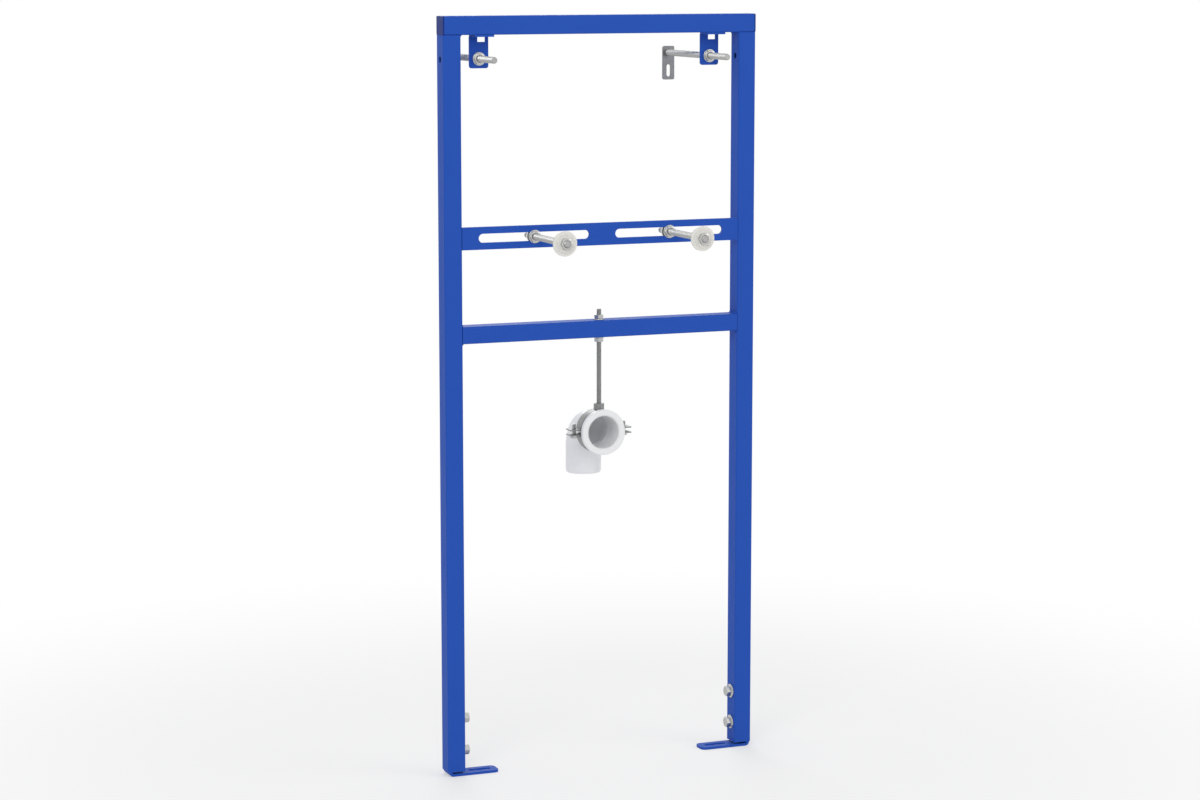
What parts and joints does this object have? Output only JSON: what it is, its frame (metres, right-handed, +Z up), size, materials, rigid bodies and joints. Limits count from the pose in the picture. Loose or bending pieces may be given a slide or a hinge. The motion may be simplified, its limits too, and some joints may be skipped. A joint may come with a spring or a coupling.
{
  "type": "washbasin support frame",
  "caption": "Upright steel support frame for a wall-hung washbasin, with slotted stud plate, wall rods, floor feet and a clamped drain elbow.",
  "frame": {"origin": "underside of the left foot, below the middle of the left post", "axes": "+X along the beam from the left post to the right post, +Y from the room to the wall, +Z up"},
  "size_m": [0.506, 0.323, 1.15],
  "materials": {
    "frame_paint": "satin powder coat, mid blue",
    "cap_plastic": "matt moulded plastic, dark blue",
    "thread_zinc": "zinc plated thread",
    "fastener_zinc": "zinc plated, bright",
    "galvanised_steel": "galvanised sheet, dull",
    "rubber_black": "moulded rubber",
    "bush_plastic": "moulded plastic, off-white",
    "drain_plastic": "moulded plastic, white"
  },
  "bodies": {
    "root": {"left_post": "frame_paint", "right_post": "frame_paint", "top_beam": "frame_paint", "left_beam_cap": "cap_plastic", "right_beam_cap": "cap_plastic", "slotted_plate": "frame_paint", "lower_bar": "frame_paint", "left_foot": "frame_paint", "right_foot": "frame_paint", "left_foot_bolts": "fastener_zinc", "right_foot_bolts": "fastener_zinc", "left_wall_bracket": "frame_paint", "right_wall_bracket": "frame_paint", "left_wall_rod": "thread_zinc", "right_wall_rod": "thread_zinc", "left_wall_plate": "galvanised_steel", "right_wall_plate": "galvanised_steel", "left_wall_rod_washers": "fastener_zinc", "right_wall_rod_washers": "fastener_zinc", "left_wall_rod_nuts": "fastener_zinc", "right_wall_rod_nuts": "fastener_zinc", "left_basin_stud": "thread_zinc", "right_basin_stud": "thread_zinc", "left_stud_washers": "fastener_zinc", "right_stud_washers": "fastener_zinc", "left_stud_nuts": "fastener_zinc", "right_stud_nuts": "fastener_zinc", "left_basin_bush": "bush_plastic", "right_basin_bush": "bush_plastic", "left_bush_nut": "fastener_zinc", "right_bush_nut": "fastener_zinc", "hanger_rod": "thread_zinc", "hanger_washers": "fastener_zinc", "hanger_nuts": "fastener_zinc", "clamp_upper_half": "galvanised_steel", "clamp_lower_half": "galvanised_steel", "clamp_lining": "rubber_black", "clamp_screws": "fastener_zinc", "drain_elbow": "drain_plastic"}
  },
  "joints": []
}
